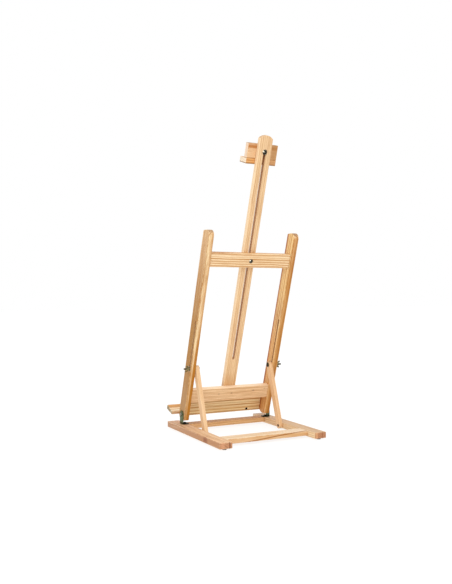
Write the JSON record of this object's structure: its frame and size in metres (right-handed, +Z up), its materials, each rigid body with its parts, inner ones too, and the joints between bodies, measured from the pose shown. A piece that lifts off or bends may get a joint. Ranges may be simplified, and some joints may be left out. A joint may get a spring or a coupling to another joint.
{
  "type": "tabletop easel",
  "caption": "Tabletop easel with a two-rail base, a leaning slotted frame on angle brackets, folding side struts, a canvas tray and a sliding mast with a clamp.",
  "frame": {"origin": "centre of the bounding box in X and Y, on the plane that the feet stand on", "axes": "+Z up; -Y is the artist's side, where the canvas stands, and the struts are at +Y; +X is the artist's right"},
  "size_m": [0.3, 0.3306, 0.7603],
  "materials": {
    "pine_rail": "planed pine, clear satin oil, pinkish",
    "pine_upright": "planed pine, clear satin oil",
    "pine_board": "planed flat-sawn pine, clear satin oil, small knots",
    "pine_mast": "planed straight-grained pine, clear satin oil",
    "pine_strut": "planed pine, clear satin oil",
    "beech": "raw beech dowel",
    "zinc_plate": "zinc-plated, greenish, satin",
    "zinc_screw": "zinc-plated",
    "dark_screw": "dark phosphate",
    "bright_steel": "bright nickel-plated",
    "dull_steel": "dull plated steel",
    "wing_nut": "bronze-toned plated casting",
    "rubber_foot": "grey felt-topped rubber pad"
  },
  "bodies": {
    "base": {"rail_left": "pine_rail", "bracket_left": "zinc_plate", "bracket_screw_left": "dark_screw", "strut_pivot_screw_left": "dark_screw", "rail_right": "pine_rail", "bracket_right": "zinc_plate", "bracket_screw_right": "dark_screw", "strut_pivot_screw_right": "dark_screw", "base_crossbar_front": "pine_rail", "foot_front_left": "rubber_foot", "dowel_front_left_1": "beech", "dowel_front_left_2": "beech", "foot_front_right": "rubber_foot", "dowel_front_right_1": "beech", "dowel_front_right_2": "beech", "base_crossbar_rear": "pine_board", "foot_rear_left": "rubber_foot", "dowel_rear_left_1": "beech", "dowel_rear_left_2": "beech", "foot_rear_right": "rubber_foot", "dowel_rear_right_1": "beech", "dowel_rear_right_2": "beech"},
    "frame": {"upright_left": "pine_upright", "pivot_screw_left": "zinc_screw", "ledge_screw_left_1": "zinc_screw", "ledge_screw_left_2": "zinc_screw", "tray_screw_left": "dark_screw", "mast_guide_left": "pine_board", "upright_right": "pine_upright", "pivot_screw_right": "zinc_screw", "ledge_screw_right_1": "zinc_screw", "ledge_screw_right_2": "zinc_screw", "tray_screw_right": "dark_screw", "mast_guide_right": "pine_board", "crossbar_upper": "pine_board", "crossbar_lower": "pine_board", "ledge_board": "pine_board", "canvas_tray": "pine_board", "mast_bolt": "bright_steel", "mast_washer": "bright_steel"},
    "mast": {"mast": "pine_mast"},
    "clamp": {"clamp_plate": "pine_board", "clamp_lip": "pine_board", "clamp_screw_left": "zinc_screw", "clamp_screw_right": "zinc_screw", "clamp_bolt": "bright_steel", "clamp_washer": "bright_steel"},
    "nut_mast": {"wingnut_mast": "wing_nut"},
    "nut_clamp": {"wingnut_clamp": "wing_nut"},
    "strut_left_arm": {"strut_left": "pine_strut", "strut_bolt_left": "dull_steel"},
    "stud_left": {"strut_stud_left": "bright_steel", "strut_washer_left": "bright_steel"},
    "nut_left": {"wingnut_left": "wing_nut"},
    "strut_right_arm": {"strut_right": "pine_strut", "strut_bolt_right": "dull_steel"},
    "stud_right": {"strut_stud_right": "bright_steel", "strut_washer_right": "bright_steel"},
    "nut_right": {"wingnut_right": "wing_nut"}
  },
  "joints": [
    {"name": "frame_tilt", "type": "hinge", "parent": "base", "child": "frame", "pos_m": [0, -0.09699, 0.04439], "axis": [-1, 0, 0], "range_deg": [0, 66]},
    {"name": "mast_slide", "type": "slide", "parent": "frame", "child": "mast", "axis": [0, 0.304, 0.9527], "range_m": [-0.05, 0.27]},
    {"name": "clamp_slide", "type": "slide", "parent": "mast", "child": "clamp", "axis": [0, 0.304, 0.9527], "range_m": [-0.175, 0]},
    {"name": "strut_left_swing", "type": "hinge", "parent": "base", "child": "strut_left_arm", "pos_m": [-0.1106, 0.00432, 0.0113], "axis": [-1, 0, 0], "range_deg": [0, 90]},
    {"name": "stud_left_slide", "type": "slide", "parent": "frame", "child": "stud_left", "axis": [0, 0.304, 0.9527], "range_m": [0, 0.1275]},
    {"name": "strut_right_swing", "type": "hinge", "parent": "base", "child": "strut_right_arm", "pos_m": [0.1106, 0.00432, 0.0113], "axis": [-1, 0, 0], "range_deg": [0, 90]},
    {"name": "stud_right_slide", "type": "slide", "parent": "frame", "child": "stud_right", "axis": [0, 0.304, 0.9527], "range_m": [0, 0.1275]},
    {"name": "nut_left_turn", "type": "hinge", "parent": "stud_left", "child": "nut_left", "pos_m": [-0.1366, -0.05009, 0.16997], "axis": [-1, 0, 0], "continuous": true},
    {"name": "nut_right_turn", "type": "hinge", "parent": "stud_right", "child": "nut_right", "pos_m": [0.1366, -0.05009, 0.16997], "axis": [1, 0, 0], "continuous": true},
    {"name": "nut_mast_turn", "type": "hinge", "parent": "frame", "child": "nut_mast", "pos_m": [0, 0.01579, 0.45861], "axis": [0, -0.9527, 0.304], "continuous": true},
    {"name": "nut_clamp_turn", "type": "hinge", "parent": "clamp", "child": "nut_clamp", "pos_m": [0, 0.08655, 0.72637], "axis": [0, -0.9527, 0.304], "continuous": true}
  ],
  "couplings": [
    {"joint": "strut_left_swing", "follows": "frame_tilt", "ratio": 1.3592},
    {"joint": "stud_left_slide", "follows": "frame_tilt", "m_per_rad": 0.10995},
    {"joint": "strut_right_swing", "follows": "frame_tilt", "ratio": 1.3592},
    {"joint": "stud_right_slide", "follows": "frame_tilt", "m_per_rad": 0.10995}
  ]
}
